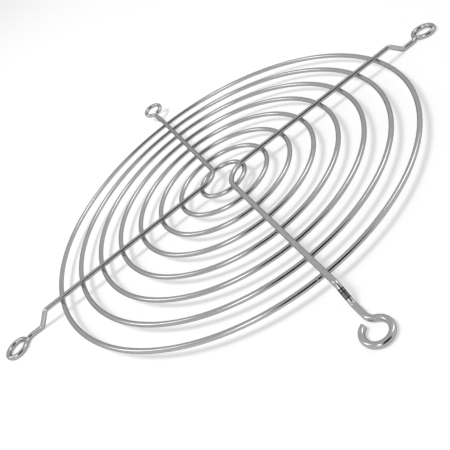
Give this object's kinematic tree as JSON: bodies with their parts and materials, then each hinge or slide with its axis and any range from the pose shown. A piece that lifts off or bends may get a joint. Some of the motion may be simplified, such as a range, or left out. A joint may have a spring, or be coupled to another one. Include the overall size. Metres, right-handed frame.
{
  "type": "wire fan guard",
  "caption": "Round wire guard for a square axial fan: concentric rings welded under two bent stays that end in screw eyes.",
  "frame": {"origin": "centre of the guard, on the plane that the eyes rest on", "axes": "+X and +Y run along the sides of the fan that the eyes are screwed to, +Z points away from the fan towards the rings and stays"},
  "size_m": [0.1142, 0.1142, 0.0054],
  "materials": {
    "stays": "bright nickel-chrome plate over drawn steel wire",
    "rings": "bright nickel-chrome plate over drawn steel wire"
  },
  "bodies": {
    "root": {"stay_west": "stays", "stay_east": "stays", "ring_1": "rings", "ring_2": "rings", "ring_3": "rings", "ring_4": "rings", "ring_5": "rings", "ring_6": "rings", "ring_7": "rings", "ring_8": "rings"}
  },
  "joints": []
}
